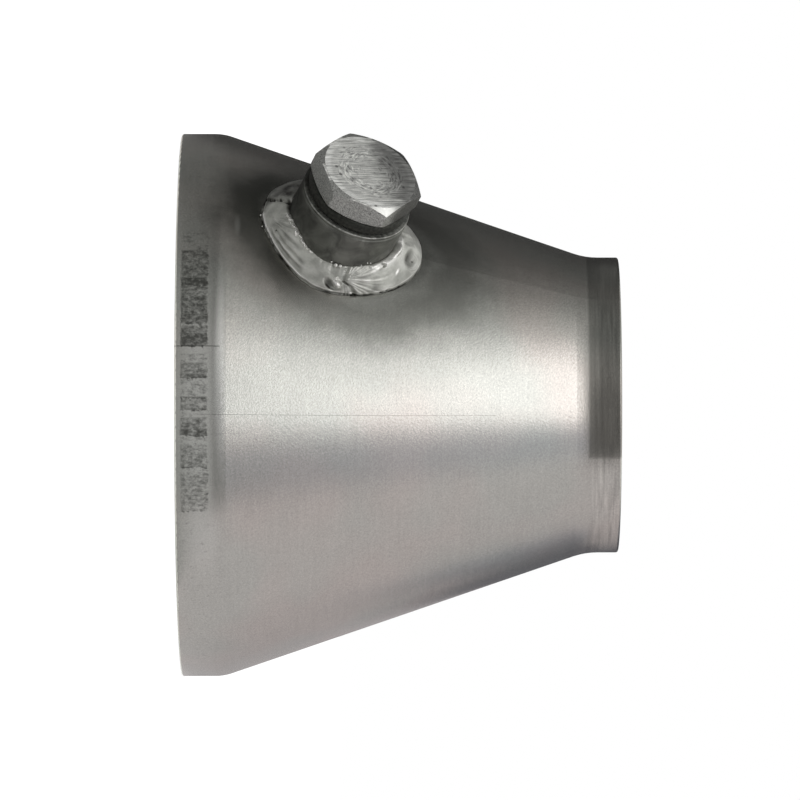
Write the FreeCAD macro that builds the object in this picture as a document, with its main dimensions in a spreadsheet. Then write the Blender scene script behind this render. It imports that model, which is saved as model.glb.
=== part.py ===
import FreeCAD, Part
import math
import os
import re
import Sketcher

# Cone reducer for an exhaust pipe, with a sensor boss welded into its wall and a
# hexagon head screw plug that closes the boss on a seal ring.
# The reducer stands on its big end. The origin is the centre of the big end's face, +Z runs
# along the pipe to the small end, and the boss leans out of the wall towards +X.
# Lengths are in millimetres and angles in degrees.

SIZES = [
    # The wall of the reducer
    ("big_end_od", 124.0, "outside diameter of the big collar"),
    ("small_end_od", 67.5, "outside diameter of the small collar"),
    ("wall", 2.0, "thickness of the sheet, square to the wall"),
    ("overall_length", 99.5, "face to face along the pipe"),
    ("big_collar", 9.5, "straight collar at the big end, up to the corner of the cone"),
    ("small_collar", 7.5, "straight collar at the small end, down to the corner of the cone"),
    ("big_bend", 12.0, "outside radius of the bend between the big collar and the cone"),
    ("small_bend", 17.0, "outside radius of the bend between the cone and the small collar"),
    ("rim_break", 0.5, "rounding of the cut edges at both rims"),
    # The boss
    ("boss_wall", 3.5, "wall of the boss outside the thread's nominal diameter"),
    ("boss_station", 35.4, "height above the big end where the boss axis leaves the cone"),
    ("boss_tilt", 2.0, "lean of the boss towards the small end, past square to the wall"),
    ("boss_rise", 13.4, "boss standing out of the wall, along its axis"),
    ("boss_depth", 4.0, "boss reaching in from the outside of the wall"),
    ("boss_edge", 0.2, "rounding of the outer edges of the boss"),
    ("boss_line_drop", 0.95, "turned line round the boss, below its top face"),
    ("boss_line_width", 0.5, "width of the turned line"),
    ("boss_line_depth", 0.2, "depth of the turned line"),
    ("boss_hole_clearance", 0.1, "gap all round between the boss and the hole in the wall"),
    ("boss_hole_reach", 10.0, "length of the hole's cutter each side of the wall"),
    # The thread that the boss and the plug share
    ("thread_size", 18.0, "nominal diameter of the thread"),
    ("thread_clearance", 0.05, "gap all round between the shank and the bore"),
    ("thread_lead_in", 0.8, "chamfer at both mouths of the bore"),
    # The seal ring
    ("ring_width", 2.7, "seal ring, from its bore to its outside"),
    ("ring_thickness", 2.7, "seal ring, crushed between the head and the boss"),
    ("ring_corner", 0.9, "rounding of the ring's section"),
    ("ring_bore_clearance", 0.1, "gap all round between the ring and the shank"),
    # The screw plug
    ("head_across_flats", 22.0, "hexagon, flat to flat"),
    ("head_height", 5.5, "hexagon, from its seat to its top"),
    ("head_face_margin", 0.7, "how much smaller than the flats the chamfers leave the head's faces"),
    ("head_chamfer_angle", 30.0, "slope of the head's chamfers"),
    ("head_turn", 49.9, "turn of a corner of the head, as the plug was tightened"),
    ("shank_length", 12.0, "shank below the head's seat"),
    ("shank_chamfer", 1.2, "chamfer at the end of the shank"),
    ("cutter_margin", 1.0, "how far the chamfer cutters pass the corners of the head"),
    # The weld bead: two overlapping passes, whose edges wander round the boss
    ("weld_reach", 4.6, "bead from the side of the boss to its toe on the cone"),
    ("weld_reach_sway", 1.4, "how much wider the bead is on its heavy side"),
    ("weld_reach_oval", 0.8, "how much wider it is along the pipe than across it"),
    ("weld_reach_lobes", 0.55, "how far its toe wanders out in three lobes"),
    ("weld_rise", 4.3, "bead up the side of the boss, from where the axis leaves the cone"),
    ("weld_rise_sway", 0.8, "how much higher the bead is on its heavy side"),
    ("weld_crown", 0.7, "swell of the bead's face over a flat one"),
    ("weld_heavy_side", 229.0, "direction of the heavy side, round the boss"),
    ("weld_oval_turn", 349.0, "direction of the oval, round the boss"),
    ("weld_lobe_turn", 301.0, "direction of the first lobe, round the boss"),
    ("first_pass_start", -32.0, "where the first pass starts, round the boss"),
    ("first_pass_end", 112.0, "where the first pass ends"),
    ("second_pass_start", 88.0, "where the second pass starts, over the end of the first"),
    ("second_pass_end", 352.0, "where the second pass ends, over the start of the first"),
    ("second_pass_swell", 0.15, "how much further the second pass stands out"),
    ("pass_end_turn", 26.0, "length of a pass's rounded end, as a turn round the boss"),
    ("pass_end_size", 0.35, "size of a pass at its very end, as a share of its full size"),
    ("pass_step", 8.0, "turn from one section of a pass to the next"),
    ("weld_overlap", 0.6, "how far the raw bead sinks into the boss and the wall"),
]
NAMES = {name for name, value, meaning in SIZES}

# An edge is looked for at its radius and height, and found within this much of them.
EDGE_TOLERANCE = 0.001

CONE_HEIGHT = "(overall_length - big_collar - small_collar)"
CONE_DROP = "((big_end_od - small_end_od) / 2)"
CONE_ANGLE = f"atan({CONE_DROP} / {CONE_HEIGHT})"
CORNER_SHIFT = f"wall * tan({CONE_ANGLE} / 2)"
BOSS_RADIUS = "(thread_size / 2 + boss_wall)"
BOSS_LEAN = f"({CONE_ANGLE} + boss_tilt * 1deg)"
SEAT_RADIUS = f"(big_end_od / 2 - (boss_station - big_collar) * {CONE_DROP} / {CONE_HEIGHT})"
SHANK_RADIUS = "(thread_size / 2 - thread_clearance)"
RING_BORE = f"({SHANK_RADIUS} + ring_bore_clearance)"
RING_RADIUS = f"({RING_BORE} + ring_width)"
HEAD_FACE_RADIUS = "((head_across_flats - head_face_margin) / 2)"
HEAD_CORNER = "(head_across_flats / sqrt(3))"
CUTTER_RADIUS = f"({HEAD_CORNER} + cutter_margin)"
CHAMFER_DROP = f"(({CUTTER_RADIUS} - {HEAD_FACE_RADIUS}) * tan(head_chamfer_angle * 1deg))"

doc = FreeCAD.newDocument("exhaust_reducer")


def fill_sheet():
    """Put each driving size in the sheet, with its name and what it means."""
    sheet = doc.addObject("Spreadsheet::Sheet", "Sizes")
    for row, (name, value, meaning) in enumerate(SIZES, start=1):
        sheet.set(f"A{row}", name)
        sheet.set(f"B{row}", str(value))
        sheet.set(f"C{row}", meaning)
        sheet.setAlias(f"B{row}", name)
    doc.recompute()
    return sheet


def tied(expression):
    """Point each size's name in an expression at its cell in the sheet."""
    return re.sub(r"[a-z_]+", lambda word: f"Sizes.{word[0]}" if word[0] in NAMES else word[0], expression)


def value_of(expression):
    """Work out an expression of sizes as a plain number, in millimetres or degrees."""
    result = sizes.evalExpression(tied(expression))
    return float(getattr(result, "Value", result))


def on_boss_axis(rise):
    """Place along the boss axis, counted outwards from where it leaves the cone."""
    return f"{SEAT_RADIUS} + ({rise}) * cos({BOSS_LEAN})", f"boss_station + ({rise}) * sin({BOSS_LEAN})"


def seat_on_boss_axis(item, rise):
    """Stand a piece on the boss axis, its own +Z along the axis and away from the pipe."""
    radius, height = on_boss_axis(rise)
    turn = FreeCAD.Rotation(FreeCAD.Vector(0, 1, 0), value_of(f"90deg - {BOSS_LEAN}"))
    item.Placement = FreeCAD.Placement(FreeCAD.Vector(value_of(radius), 0, value_of(height)), turn)
    item.setExpression("Placement.Base.x", tied(radius))
    item.setExpression("Placement.Base.z", tied(height))
    item.setExpression("Placement.Rotation.Angle", tied(f"90deg - {BOSS_LEAN}"))


def new_body(label):
    body = doc.addObject("PartDesign::Body", label)
    body.Label = label
    return body


def new_sketch(body, name, plane):
    """Start a sketch on one of the body's own origin planes."""
    sketch = body.newObject("Sketcher::SketchObject", name)
    support = [item for item in body.Origin.OriginFeatures if item.Role == plane][0]
    sketch.AttachmentSupport = (support, [""])
    sketch.MapMode = "FlatFace"
    return sketch


def bind(sketch, kind, *parts):
    """Add a dimension whose value is the expression given last."""
    *where, expression = parts
    value = value_of(expression)
    if kind == "Angle":
        value = math.radians(value)
    index = sketch.addConstraint(Sketcher.Constraint(kind, *where, value))
    sketch.setExpression(f"Constraints[{index}]", tied(expression))


def draw_outline(sketch, corners):
    """Draw a closed outline of straight edges, each corner tied to its two expressions."""
    points = [FreeCAD.Vector(value_of(across), value_of(up), 0) for across, up in corners]
    first = sketch.GeometryCount
    for start, end in zip(points, points[1:] + points[:1]):
        sketch.addGeometry(Part.LineSegment(start, end), False)
    for index, (across, up) in enumerate(corners):
        edge = first + index
        edge_before = first + (index - 1) % len(corners)
        sketch.addConstraint(Sketcher.Constraint("Coincident", edge_before, 2, edge, 1))
        bind(sketch, "DistanceX", -1, 1, edge, 1, across)
        bind(sketch, "DistanceY", -1, 1, edge, 1, up)


def revolve(body, kind, name, sketch):
    """Turn a sketch once round its own upright axis, to add or to cut."""
    feature = body.newObject(kind, name)
    feature.Profile = sketch
    feature.ReferenceAxis = (sketch, ["V_Axis"])
    feature.Angle = 360.0
    doc.recompute()
    return feature


def round_edges(feature, rings):
    """Name the round edges of a feature that lie at the given radii and heights."""
    names = []
    for number, edge in enumerate(feature.Shape.Edges, start=1):
        if not isinstance(edge.Curve, Part.Circle):
            continue
        for radius, height in rings:
            at_radius = abs(edge.Curve.Radius - value_of(radius)) < EDGE_TOLERANCE
            at_height = abs(edge.Curve.Center.z - value_of(height)) < EDGE_TOLERANCE
            if at_radius and at_height:
                names.append(f"Edge{number}")
    if len(names) != len(rings):
        raise RuntimeError(f"{feature.Name}: found {len(names)} of {len(rings)} round edges")
    return names


def dress(body, kind, name, size, rings):
    """Round or chamfer the named rings of the body's last feature."""
    base = body.Tip
    feature = body.newObject(kind, name)
    feature.Base = (base, round_edges(base, rings))
    bound = "Radius" if kind == "PartDesign::Fillet" else "Size"
    setattr(feature, bound, value_of(size))
    feature.setExpression(bound, tied(size))
    doc.recompute()
    return feature


def make_reducer_body():
    """Cone with a straight collar at each end, formed from one piece of tube."""
    body = new_body("reducer_body")
    section = new_sketch(body, "wall_section", "XZ_Plane")
    cone_top = "overall_length - small_collar"
    draw_outline(section, [
        ("big_end_od / 2", "0"),
        ("big_end_od / 2", "big_collar"),
        ("small_end_od / 2", cone_top),
        ("small_end_od / 2", "overall_length"),
        ("small_end_od / 2 - wall", "overall_length"),
        ("small_end_od / 2 - wall", f"{cone_top} - {CORNER_SHIFT}"),
        ("big_end_od / 2 - wall", f"big_collar - {CORNER_SHIFT}"),
        ("big_end_od / 2 - wall", "0"),
    ])
    revolve(body, "PartDesign::Revolution", "wall_turned", section)
    dress(body, "PartDesign::Fillet", "big_bend_outside", "big_bend",
          [("big_end_od / 2", "big_collar")])
    dress(body, "PartDesign::Fillet", "big_bend_inside", "big_bend - wall",
          [("big_end_od / 2 - wall", f"big_collar - {CORNER_SHIFT}")])
    dress(body, "PartDesign::Fillet", "small_bend_outside", "small_bend",
          [("small_end_od / 2", cone_top)])
    dress(body, "PartDesign::Fillet", "small_bend_inside", "small_bend + wall",
          [("small_end_od / 2 - wall", f"{cone_top} - {CORNER_SHIFT}")])
    dress(body, "PartDesign::Fillet", "rims_rounded", "rim_break",
          [("big_end_od / 2", "0"), ("big_end_od / 2 - wall", "0"),
           ("small_end_od / 2", "overall_length"), ("small_end_od / 2 - wall", "overall_length")])
    cut_boss_hole(body)
    return body


def cut_boss_hole(body):
    """Bore the hole for the boss through the near wall only, along the boss axis."""
    volume_before = body.Tip.Shape.Volume
    section = new_sketch(body, "boss_hole_section", "XZ_Plane")
    across, up = on_boss_axis("-boss_hole_reach")
    tilt = FreeCAD.Rotation(FreeCAD.Vector(0, 0, -1), value_of(f"90deg - {BOSS_LEAN}"))
    section.AttachmentOffset = FreeCAD.Placement(FreeCAD.Vector(value_of(across), value_of(up), 0), tilt)
    section.setExpression("AttachmentOffset.Base.x", tied(across))
    section.setExpression("AttachmentOffset.Base.y", tied(up))
    section.setExpression("AttachmentOffset.Rotation.Angle", tied(f"90deg - {BOSS_LEAN}"))
    draw_outline(section, [
        ("0", "0"),
        (f"{BOSS_RADIUS} + boss_hole_clearance", "0"),
        (f"{BOSS_RADIUS} + boss_hole_clearance", "2 * boss_hole_reach"),
        ("0", "2 * boss_hole_reach"),
    ])
    hole = revolve(body, "PartDesign::Groove", "boss_hole", section)
    if hole.Shape.Volume >= volume_before:
        raise RuntimeError("the boss hole cut nothing")


def make_sensor_boss():
    """Turned ring, bored for the thread, with a fine turned line below its top face."""
    body = new_body("sensor_boss")
    section = new_sketch(body, "boss_section", "XZ_Plane")
    line = "(boss_depth + boss_rise - boss_line_drop)"
    draw_outline(section, [
        ("thread_size / 2", "0"),
        (BOSS_RADIUS, "0"),
        (BOSS_RADIUS, f"{line} - boss_line_width / 2"),
        (f"{BOSS_RADIUS} - boss_line_depth", line),
        (BOSS_RADIUS, f"{line} + boss_line_width / 2"),
        (BOSS_RADIUS, "boss_depth + boss_rise"),
        ("thread_size / 2", "boss_depth + boss_rise"),
    ])
    revolve(body, "PartDesign::Revolution", "boss_turned", section)
    dress(body, "PartDesign::Fillet", "boss_edges", "boss_edge",
          [(BOSS_RADIUS, "0"), (BOSS_RADIUS, "boss_depth + boss_rise")])
    dress(body, "PartDesign::Chamfer", "boss_mouths", "thread_lead_in",
          [("thread_size / 2", "0"), ("thread_size / 2", "boss_depth + boss_rise")])
    seat_on_boss_axis(body, "-boss_depth")
    return body


def make_seal_ring():
    """Crushed ring with a rounded section, seated on the boss."""
    body = new_body("seal_ring")
    section = new_sketch(body, "ring_section", "XZ_Plane")
    corners = [
        (RING_BORE, "0"),
        (RING_RADIUS, "0"),
        (RING_RADIUS, "ring_thickness"),
        (RING_BORE, "ring_thickness"),
    ]
    draw_outline(section, corners)
    revolve(body, "PartDesign::Revolution", "ring_turned", section)
    dress(body, "PartDesign::Fillet", "ring_rounded", "ring_corner", corners)
    seat_on_boss_axis(body, "boss_rise")
    return body


def draw_hexagon(sketch):
    """Draw a regular hexagon on its corner circle, one corner at the head's turn."""
    corner = value_of(HEAD_CORNER)
    centre = FreeCAD.Vector(0, 0, 0)
    turns = [math.radians(value_of("head_turn") + 60 * number) for number in range(6)]
    points = [FreeCAD.Vector(corner * math.cos(turn), corner * math.sin(turn), 0) for turn in turns]
    for start, end in zip(points, points[1:] + points[:1]):
        sketch.addGeometry(Part.LineSegment(start, end), False)
    circle = sketch.addGeometry(Part.Circle(centre, FreeCAD.Vector(0, 0, 1), corner), True)
    pointer = sketch.addGeometry(Part.LineSegment(centre, points[0]), True)
    for edge in range(6):
        sketch.addConstraint(Sketcher.Constraint("Coincident", (edge - 1) % 6, 2, edge, 1))
        sketch.addConstraint(Sketcher.Constraint("PointOnObject", edge, 1, circle))
    for edge in range(1, 6):
        sketch.addConstraint(Sketcher.Constraint("Equal", 0, edge))
    sketch.addConstraint(Sketcher.Constraint("Coincident", circle, 3, -1, 1))
    sketch.addConstraint(Sketcher.Constraint("Coincident", pointer, 1, -1, 1))
    sketch.addConstraint(Sketcher.Constraint("Coincident", pointer, 2, 0, 1))
    bind(sketch, "Radius", circle, HEAD_CORNER)
    bind(sketch, "Angle", pointer, "head_turn * 1deg")


def pad(body, name, sketch, length, reverse):
    feature = body.newObject("PartDesign::Pad", name)
    feature.Profile = sketch
    feature.Length = value_of(length)
    feature.setExpression("Length", tied(length))
    feature.Reversed = reverse
    doc.recompute()
    return feature


def make_screw_plug():
    """Hexagon head, chamfered on both faces, and a shank that fills the bore."""
    body = new_body("screw_plug")
    hexagon = new_sketch(body, "head_hexagon", "XY_Plane")
    draw_hexagon(hexagon)
    pad(body, "head", hexagon, "head_height", False)
    chamfers = new_sketch(body, "head_chamfers", "XZ_Plane")
    draw_outline(chamfers, [
        (HEAD_FACE_RADIUS, "0"),
        (CUTTER_RADIUS, "0"),
        (CUTTER_RADIUS, CHAMFER_DROP),
    ])
    draw_outline(chamfers, [
        (HEAD_FACE_RADIUS, "head_height"),
        (CUTTER_RADIUS, "head_height"),
        (CUTTER_RADIUS, f"head_height - {CHAMFER_DROP}"),
    ])
    volume_before = body.Tip.Shape.Volume
    revolve(body, "PartDesign::Groove", "head_corners_cut", chamfers)
    if body.Tip.Shape.Volume >= volume_before:
        raise RuntimeError("the head's chamfers cut nothing")
    circle = new_sketch(body, "shank_circle", "XY_Plane")
    centre, upright = FreeCAD.Vector(0, 0, 0), FreeCAD.Vector(0, 0, 1)
    ring = circle.addGeometry(Part.Circle(centre, upright, value_of(SHANK_RADIUS)), False)
    circle.addConstraint(Sketcher.Constraint("Coincident", ring, 3, -1, 1))
    bind(circle, "Radius", ring, SHANK_RADIUS)
    pad(body, "shank", circle, "shank_length", True)
    dress(body, "PartDesign::Chamfer", "shank_end", "shank_chamfer", [(SHANK_RADIUS, "-shank_length")])
    seat_on_boss_axis(body, "boss_rise + ring_thickness")
    return body


def wall_height(reach, turn):
    """Height of the cone's surface in the boss's own frame, at a reach and turn round its axis."""
    lean = math.radians(value_of(BOSS_LEAN))
    slope = value_of(f"{CONE_DROP} / {CONE_HEIGHT}")
    along, aside = reach * math.cos(turn), reach * math.sin(turn)
    seat, station = value_of(SEAT_RADIUS), value_of("boss_station")

    def above_wall(height):
        radius = math.hypot(seat + along * math.sin(lean) + height * math.cos(lean), aside)
        level = station - along * math.cos(lean) + height * math.sin(lean)
        return radius - (seat - (level - station) * slope)

    low, high = -seat, seat
    for halving in range(50):
        middle = (low + high) / 2
        if above_wall(middle) > 0:
            high = middle
        else:
            low = middle
    return high


def bead_section(turn, fullness, swell):
    """Section of a raw pass, in the half plane at one turn round the boss axis."""
    heavy = math.cos(turn - math.radians(value_of("weld_heavy_side")))
    oval = math.cos(2 * (turn - math.radians(value_of("weld_oval_turn"))))
    lobes = math.cos(3 * (turn - math.radians(value_of("weld_lobe_turn"))))
    reach = (value_of("weld_reach") + value_of("weld_reach_sway") * heavy
             + value_of("weld_reach_oval") * oval + value_of("weld_reach_lobes") * lobes)
    rise = value_of("weld_rise") + value_of("weld_rise_sway") * heavy
    boss_radius, overlap = value_of(BOSS_RADIUS), value_of("weld_overlap")
    foot_height = wall_height(boss_radius, turn)
    toe_reach = (reach + swell) * fullness
    toe_height = wall_height(boss_radius + toe_reach, turn)
    top_height = foot_height + (rise + swell - foot_height) * fullness
    face_length = math.hypot(toe_reach, top_height - toe_height)
    out, down = toe_reach / face_length, (top_height - toe_height) / face_length
    crown = value_of("weld_crown") * fullness

    def point(across, up):
        return FreeCAD.Vector(across * math.cos(turn), across * math.sin(turn), up)

    top = point(boss_radius - overlap * out, top_height + overlap * down)
    face = point(boss_radius + toe_reach / 2 + crown * down, (top_height + toe_height) / 2 + crown * out)
    toe = point(boss_radius + toe_reach + overlap * out, toe_height - overlap * down)
    root = point(boss_radius - overlap * out, toe_height - overlap * down)
    return Part.Wire([Part.Arc(top, face, toe).toShape(), Part.LineSegment(toe, root).toShape(),
                      Part.LineSegment(root, top).toShape()])


def raw_pass(name, start, end, swell):
    """One pass of the torch round the boss, with rounded ends, before the steel is taken off it."""
    start, end, swell = value_of(start), value_of(end), value_of(swell)
    count = math.ceil((end - start) / value_of("pass_step"))
    sections = []
    for number in range(count + 1):
        turn = start + (end - start) * number / count
        from_end = min(turn - start, end - turn) / value_of("pass_end_turn")
        rounding = math.sqrt(1 - (1 - min(from_end, 1)) ** 2)
        fullness = value_of("pass_end_size") + (1 - value_of("pass_end_size")) * rounding
        sections.append(bead_section(math.radians(turn), fullness, swell))
    bead = doc.addObject("Part::Feature", name)
    bead.Shape = Part.makeLoft(sections, True)
    seat_on_boss_axis(bead, "0")
    return bead


def make_weld_bead():
    """Saddle-shaped fillet of filler metal between the side of the boss and the cone."""
    passes = doc.addObject("Part::MultiFuse", "bead_passes")
    passes.Shapes = [
        raw_pass("first_pass", "first_pass_start", "first_pass_end", "0"),
        raw_pass("second_pass", "second_pass_start", "second_pass_end", "second_pass_swell"),
    ]
    cone = doc.addObject("Part::Cone", "bead_cone_cutter")
    for bound, size in (("Radius1", "big_end_od / 2"), ("Radius2", "small_end_od / 2"),
                        ("Height", CONE_HEIGHT), ("Placement.Base.z", "big_collar")):
        cone.setExpression(bound, tied(size))
    post = doc.addObject("Part::Cylinder", "bead_boss_cutter")
    post.setExpression("Radius", tied(BOSS_RADIUS))
    post.setExpression("Height", tied("2 * boss_hole_reach + boss_rise"))
    seat_on_boss_axis(post, "-boss_hole_reach")
    on_wall = doc.addObject("Part::Cut", "bead_on_wall")
    on_wall.Base = passes
    on_wall.Tool = cone
    bead = doc.addObject("Part::Cut", "weld_bead")
    bead.Base = on_wall
    bead.Tool = post
    bead.Label = "weld_bead"
    doc.recompute()
    return bead


def write_parts(pieces):
    """Check the whole document, then write each piece to a file of its own."""
    for item in doc.Objects:
        if "Invalid" in item.State or "Error" in item.State:
            raise RuntimeError(f"{item.Name} failed: {item.State}")
    os.makedirs("parts", exist_ok=True)
    for piece in pieces:
        shape = piece.Shape
        if shape.isNull() or not shape.isValid() or len(shape.Solids) != 1:
            raise RuntimeError(f"{piece.Label} is not one valid solid")
    for piece in pieces:
        piece.Shape.exportStep(f"parts/{piece.Label}.step")
        print(f"{piece.Label}: {piece.Shape.Volume:.1f} mm3")


sizes = fill_sheet()
pieces = [make_reducer_body(), make_sensor_boss(), make_weld_bead(), make_seal_ring(), make_screw_plug()]
doc.recompute()
write_parts(pieces)
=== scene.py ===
"""Looks of an exhaust pipe reducer: its finishes, weld bead, threads and plug, and a plain studio."""

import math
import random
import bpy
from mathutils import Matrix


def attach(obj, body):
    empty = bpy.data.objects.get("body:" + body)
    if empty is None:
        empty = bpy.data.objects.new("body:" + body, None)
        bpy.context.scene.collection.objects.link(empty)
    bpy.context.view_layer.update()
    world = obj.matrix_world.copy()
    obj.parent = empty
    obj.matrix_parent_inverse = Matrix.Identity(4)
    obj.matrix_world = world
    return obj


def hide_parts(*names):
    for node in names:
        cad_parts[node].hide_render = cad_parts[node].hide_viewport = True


bl_info = {
    "name": "Exhaust Pipe Reducer",
    "version": (1, 0, 0),
    "blender": (4, 5, 0),
    "location": "3D View > Sidebar > Reducer",
    "description": "Finishes, weld bead, thread and plug of an exhaust pipe reducer, in a plain studio",
    "category": "Object",
}

from functools import partial

import bmesh
import bpy
from bpy.props import FloatProperty, FloatVectorProperty, IntProperty, PointerProperty
from mathutils import Matrix, Vector, noise

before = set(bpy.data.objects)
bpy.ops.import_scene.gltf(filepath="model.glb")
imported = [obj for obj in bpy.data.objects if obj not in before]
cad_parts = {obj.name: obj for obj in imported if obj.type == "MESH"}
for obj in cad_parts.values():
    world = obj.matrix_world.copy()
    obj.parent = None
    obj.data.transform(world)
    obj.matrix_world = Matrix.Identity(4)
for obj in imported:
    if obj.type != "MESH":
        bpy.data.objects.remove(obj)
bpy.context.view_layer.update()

MM = 0.001


def linear(hex_colour):
    """Turn an sRGB colour, written as #RRGGBB, to the linear values that the shaders use."""
    shares = [int(hex_colour[place:place + 2], 16) / 255 for place in (1, 3, 5)]
    return [share / 12.92 if share <= 0.04045 else ((share + 0.055) / 1.055) ** 2.4 for share in shares]


def colour_property(name, description, hex_colour):
    """A colour on the panel, given as sRGB and kept linear."""
    return FloatVectorProperty(name=name, description=description, default=linear(hex_colour),
                               subtype="COLOR", size=3, min=0, max=1)


def length_property(name, description, millimetres):
    """A length on the panel, given in millimetres and kept in metres."""
    return FloatProperty(name=name, description=description, default=millimetres * MM,
                         subtype="DISTANCE", unit="LENGTH", precision=5)


def turn_property(name, description, degrees):
    """A turn on the panel, given in degrees and kept in radians."""
    return FloatProperty(name=name, description=description, default=math.radians(degrees),
                         subtype="ANGLE")


class StageSettings(bpy.types.PropertyGroup):
    """Camera, floor, lamps and reflection cards."""

    camera_turn: turn_property("Camera turn", "Where the camera stands, from the -Y side", 134.74)
    camera_distance: length_property("Camera distance", "From the pipe's axis to the lens", 1556.4)
    camera_rise: length_property("Camera height", "Height of the lens above the floor", 49.71)
    camera_side_step: length_property("Camera side step", "How far the lens is off the pipe's axis", 1.14)
    focal_length: FloatProperty(name="Focal length", description="In millimetres, on a 36 mm sensor",
                                default=306, unit="CAMERA")
    floor_colour: colour_property("Floor", "Colour of the floor", "#EDEDED")
    floor_radius: length_property("Floor radius", "Radius of the floor", 4000)
    floor_lift: FloatProperty(name="Floor lift", description="Glow that keeps the floor white to the eye",
                              default=0.65)
    ambient: FloatProperty(name="Ambient", description="Even light on what isn't metal", default=0.55)
    key_strength: FloatProperty(name="Softbox", description="Brightness of its face", default=1.55)


class SheetSettings(bpy.types.PropertyGroup):
    """Finish of the formed sheet."""

    steel: colour_property("Steel", "Clean satin stainless steel", "#BBBCB5")
    # The soot colour also paints the dark reflection on the small collar.
    soot: colour_property("Soot", "Smoke and oxide left by the welding torch", "#53544E")
    warm: colour_property("Warm steel", "Steel with a faint film left by the pickling bath", "#C0BAB3")
    smudge: colour_property("Jaw smudge", "Dark marks where the big collar was gripped", "#3F403B")
    # Colour of a paler smear, and of the painted sheen on the big collar's bend.
    rubbed: colour_property("Rubbed steel", "Brighter steel where the dull film was rubbed", "#F8F8F3")
    grain: length_property("Grain", "Width of the satin grain, drawn as coarse as it needs to show", 0.40)


class BossSettings(bpy.types.PropertyGroup):
    """Finish of the turned boss and its thread."""

    steel: colour_property("Steel", "Turned steel, dulled by the heat of the weld", "#6E6F69")
    # This colour also paints the highlight on the rim's worn lines, on the lit side only.
    worn: colour_property("Worn edge", "Bright steel where the rim is rubbed", "#D2D3CC")
    pitch: length_property("Pitch", "Thread's pitch", 1.5)


class PlugSettings(bpy.types.PropertyGroup):
    """Finish of the screw plug and its seal ring."""

    steel: colour_property("Steel", "Plain steel of the plug", "#EBECE6")
    # The ring's colour is painted near black for the shade under the plug's head.
    ring: colour_property("Seal ring", "Dark crushed ring", "#343530")
    edge: length_property("Edge", "Width of the broken edges of the head", 0.14)


class WeldSettings(bpy.types.PropertyGroup):
    """Form and finish of the weld bead."""

    metal: colour_property("Metal", "Frosted filler metal", "#C6C7BF")
    # Bare metal also paints the bead's highlights, and flux its painted shade.
    bare: colour_property("Bare metal", "Clean bright filler metal", "#F2F1EC")
    flux: colour_property("Flux", "Burnt flux in the seams", "#26241F")
    ripple: length_property("Ripple", "Height of the flow ridges on the bead", 0.14)
    columns: IntProperty(name="Columns", description="Sections all the way round", default=900)
    rows: IntProperty(name="Rows", description="Points in one section", default=80)


def surface_centre(node):
    """Centre of a node's skin. On a turned piece it lies on the piece's axis."""
    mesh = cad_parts[node].data
    area = sum(face.area for face in mesh.polygons)
    return sum((face.center * face.area for face in mesh.polygons), Vector()) / area


def cone_line():
    """Radius of the cone's outside at the floor's height, and how much it loses per height."""
    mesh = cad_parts["reducer_body"].data
    ends = []
    for edge in mesh.edges:
        low, high = sorted((mesh.vertices[index].co for index in edge.vertices), key=lambda point: point.z)
        ends.append((high.z - low.z, low.xy.length, low.z, high.xy.length))
    longest = max(ends)[0]
    rise, low_radius, low_height, high_radius = max(
        (item for item in ends if item[0] > longest / 2), key=lambda item: item[1] + item[3])
    slope = (low_radius - high_radius) / rise
    return low_radius + slope * low_height, slope


def boss_axis():
    """Direction of the boss's axis: the way that the top of the plug's head faces."""
    along = surface_centre("seal_ring") - surface_centre("sensor_boss")
    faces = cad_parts["screw_plug"].data.polygons
    return max(faces, key=lambda face: face.center.dot(along)).normal.copy()


CONE_RADIUS, CONE_SLOPE = cone_line()
BOSS_AXIS = boss_axis()


def find_seat():
    """Where the boss axis leaves the cone."""
    point = surface_centre("sensor_boss")
    gap = CONE_RADIUS - CONE_SLOPE * point.z - point.x
    return point + BOSS_AXIS * gap / (BOSS_AXIS.x + CONE_SLOPE * BOSS_AXIS.z)


SEAT = find_seat()
BOSS_TURN = Vector((0, 0, 1)).rotation_difference(BOSS_AXIS).to_matrix().to_4x4()
BOSS_FRAME = Matrix.Translation(SEAT) @ BOSS_TURN
TO_BOSS = BOSS_FRAME.inverted()


def along_boss_axis(node):
    """Lowest and highest point of a node along the boss axis, and its reach from it."""
    points = [TO_BOSS @ vertex.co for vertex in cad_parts[node].data.vertices]
    heights = [point.z for point in points]
    return min(heights), max(heights), max(point.xy.length for point in points)


def round_axis(reach, turn, height):
    """Point at a reach from the Z axis, a turn round it and a height."""
    return Vector((reach * math.cos(turn), reach * math.sin(turn), height))


def wall_height(reach, turn):
    """Height of the cone's surface in the boss's frame, at a reach and turn round its axis."""
    low, high = -CONE_RADIUS / 2, CONE_RADIUS / 2
    for halving in range(30):
        middle = (low + high) / 2
        point = BOSS_FRAME @ round_axis(reach, turn, middle)
        if point.xy.length > CONE_RADIUS - CONE_SLOPE * point.z:
            high = middle
        else:
            low = middle
    return high


def add_object(name, data):
    """Put an object of a mesh, a lamp or a lens in the scene."""
    item = bpy.data.objects.new(name, data)
    bpy.context.scene.collection.objects.link(item)
    return item


def add_mesh(maker, name, material):
    """Put an object of a bmesh in the scene, with one material."""
    mesh = bpy.data.meshes.new(name)
    maker.to_mesh(mesh)
    maker.free()
    mesh.materials.append(material)
    return add_object(name, mesh)


def finish_piece(maker, name, material, node=None, sharp=math.radians(30)):
    """Shade a piece made in the row frame, let it ride the root, and let it stand for its node."""
    bmesh.ops.recalc_face_normals(maker, faces=maker.faces)
    piece = add_mesh(maker, name, material)
    piece.data.shade_smooth()
    piece.data.set_sharp_from_angle(angle=sharp)
    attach(piece, "root")
    if node:
        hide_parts(node)


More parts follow.
